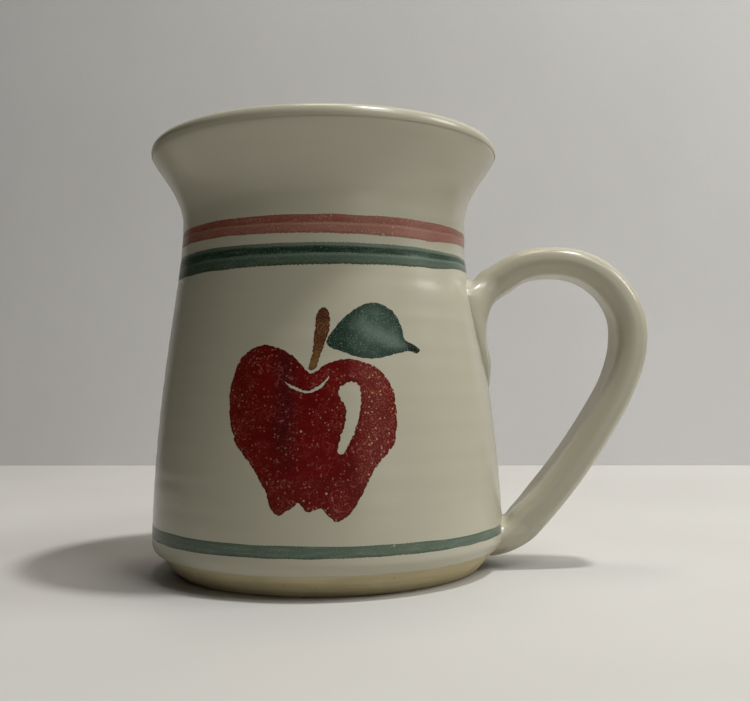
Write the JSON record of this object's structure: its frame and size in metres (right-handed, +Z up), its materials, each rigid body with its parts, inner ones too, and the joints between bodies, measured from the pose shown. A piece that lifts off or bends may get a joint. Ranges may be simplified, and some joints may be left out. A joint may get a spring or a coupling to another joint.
{
  "type": "mug",
  "caption": "Hand-thrown stoneware mug with a flared neck, a pulled strap handle, painted bands and a stencilled apple.",
  "frame": {"origin": "centre of the flat wire-cut foot, on the surface that the mug stands on", "axes": "+X to the handle, +Z up along the wheel axis, -Y to the stencilled apple"},
  "size_m": [0.1359, 0.0966, 0.1155],
  "materials": {
    "bare_stoneware": "matte unglazed buff stoneware",
    "cream_glaze": "satin to gloss cream glaze with small iron specks",
    "rose_stain": "brushed rose stain under satin glaze",
    "green_stain": "brushed grey-green stain under satin glaze",
    "red_stain": "stencilled deep red stain under satin glaze",
    "brown_stain": "brushed brown stain under satin glaze",
    "leaf_stain": "stencilled teal-green stain under satin glaze"
  },
  "bodies": {
    "root": {"thrown_body": "bare_stoneware", "body_glaze": "cream_glaze", "pulled_handle": "cream_glaze", "upper_handle_joint": "cream_glaze", "lower_handle_joint": "cream_glaze", "rose_band": "rose_stain", "upper_green_band": "green_stain", "lower_green_band": "green_stain", "apple_fruit": "red_stain", "apple_stem": "brown_stain", "apple_leaf": "leaf_stain"}
  },
  "joints": []
}
